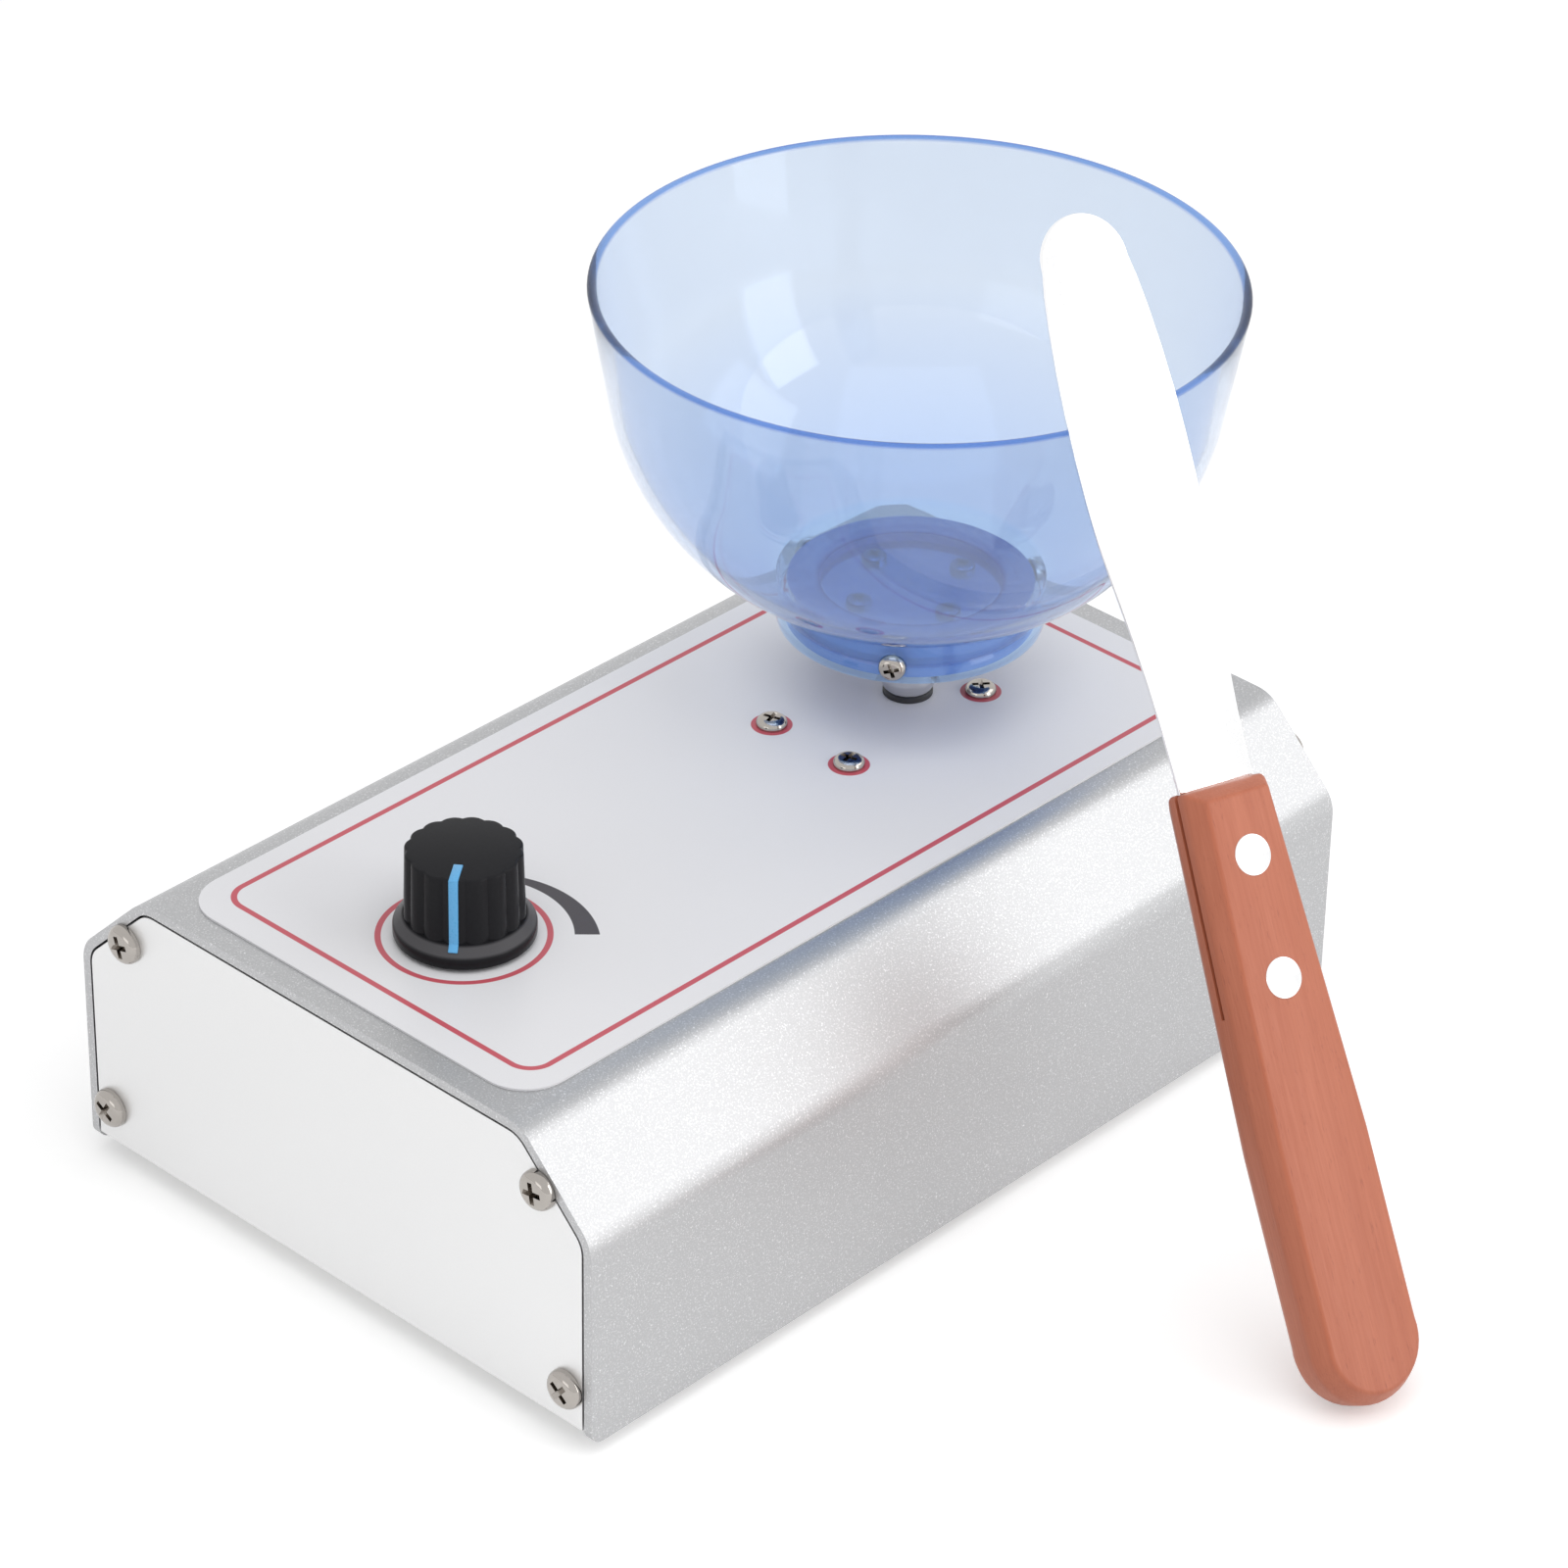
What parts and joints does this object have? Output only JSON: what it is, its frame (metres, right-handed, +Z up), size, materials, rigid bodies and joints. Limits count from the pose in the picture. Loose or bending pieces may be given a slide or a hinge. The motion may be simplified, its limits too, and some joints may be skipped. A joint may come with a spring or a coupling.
{
  "type": "dental impression mixer",
  "caption": "Bench mixer for dental impression material: a clear blue bowl on a spindle over an aluminium housing with a speed knob, and a wood-handled spatula leaning on the rim.",
  "frame": {"origin": "centre of the base's footprint, on the bench", "axes": "+Z up, +Y towards the rear with the mains inlet, -Y towards the operator and the speed knob, +X to the operator's right"},
  "size_m": [0.2384, 0.2269, 0.1937],
  "materials": {
    "black_plastic": "gloss",
    "blue_clear_plastic": "clear, gloss",
    "blue_plastic": "clear, gloss",
    "blue_pointer": "gloss",
    "blued_steel": "dark laminated steel",
    "board_laminate": "solder mask",
    "brass": "plain",
    "copper": "plain",
    "cover_aluminium": "bead blasted, satin",
    "dark_plastic": "matt",
    "die_cast": "die cast",
    "end_plate_aluminium": "fine satin",
    "glass": "clear",
    "green_plastic": "matt",
    "magnet": "sintered",
    "nickel_steel": "nickel plated",
    "panel_film": "satin printed film",
    "polished_steel": "mirror polished",
    "red_wood": "oiled red wood",
    "rubber": "matt",
    "turned_steel": "turned",
    "white_plastic": "matt",
    "zinc_sheet": "zinc plated"
  },
  "bodies": {
    "case": {"housing_cover": "cover_aluminium", "base_plate": "zinc_sheet", "front_end_plate": "end_plate_aluminium", "rear_end_plate": "end_plate_aluminium", "end_plate_screws": "nickel_steel", "rubber_feet": "rubber", "foot_screws": "nickel_steel", "control_panel": "panel_film", "panel_screws": "nickel_steel", "gear_case_body": "die_cast", "gear_case_cover": "die_cast", "gear_case_screws": "nickel_steel", "upper_shaft_bushing": "dark_plastic", "lower_shaft_bushing": "brass", "idler_axle": "turned_steel", "motor_can": "zinc_sheet", "motor_end_cap": "dark_plastic", "motor_magnets": "magnet", "motor_bearings": "brass", "motor_brushes": "magnet", "motor_screws": "nickel_steel", "potentiometer_body": "zinc_sheet", "potentiometer_nut": "nickel_steel", "board_standoffs": "brass", "speed_control_board": "board_laminate", "board_screws": "nickel_steel", "board_capacitors": "dark_plastic", "heat_sink": "die_cast", "power_transistor": "dark_plastic", "terminal_block": "green_plastic", "transformer_core": "blued_steel", "transformer_coil": "copper", "transformer_bracket": "zinc_sheet", "transformer_screws": "nickel_steel", "power_inlet": "dark_plastic", "inlet_pins": "nickel_steel", "inlet_screws": "nickel_steel", "switch_housing": "dark_plastic", "fuse_holder": "dark_plastic", "fuse_cap": "dark_plastic", "fuse": "glass"},
    "spinner": {"output_shaft": "turned_steel", "output_gear": "white_plastic", "hub_neck": "turned_steel", "neck_set_screw": "blued_steel", "hub_disc": "blue_plastic", "hub_screws": "nickel_steel", "mixing_bowl": "blue_clear_plastic", "bowl_screws": "nickel_steel"},
    "idler": {"idler_gear": "white_plastic"},
    "rotor": {"motor_shaft": "turned_steel", "motor_armature": "blued_steel", "motor_pinion": "brass"},
    "dial": {"speed_knob": "black_plastic", "knob_pointer": "blue_pointer", "potentiometer_shaft": "turned_steel"},
    "rocker": {"switch_rocker": "black_plastic"},
    "spatula": {"spatula_blade": "polished_steel", "spatula_handle": "red_wood", "spatula_rivets": "polished_steel"}
  },
  "joints": [
    {"name": "bowl_spin", "type": "hinge", "parent": "case", "child": "spinner", "pos_m": [0, 0.054, 0.06], "axis": [0, 0, 1], "continuous": true},
    {"name": "idler_spin", "type": "hinge", "parent": "case", "child": "idler", "pos_m": [0, 0.0292, 0.05], "axis": [0, 0, 1], "continuous": true},
    {"name": "motor_spin", "type": "hinge", "parent": "case", "child": "rotor", "pos_m": [0, 0.0076, 0.03], "axis": [0, 0, 1], "continuous": true},
    {"name": "knob_turn", "type": "hinge", "parent": "case", "child": "dial", "pos_m": [0, -0.07, 0.07], "axis": [0, 0, 1], "range_deg": [-6, 294]},
    {"name": "rocker_tilt", "type": "hinge", "parent": "case", "child": "rocker", "pos_m": [0.01, 0.1046, 0.033], "axis": [1, 0, 0], "range_deg": [0, 20]},
    {"name": "spatula_lift", "type": "slide", "parent": "case", "child": "spatula", "axis": [0.8175, -0.1693, 0.5505], "range_m": [0, 0.15]}
  ],
  "couplings": [
    {"joint": "idler_spin", "follows": "bowl_spin", "ratio": -3.4286},
    {"joint": "motor_spin", "follows": "bowl_spin", "ratio": 12}
  ]
}
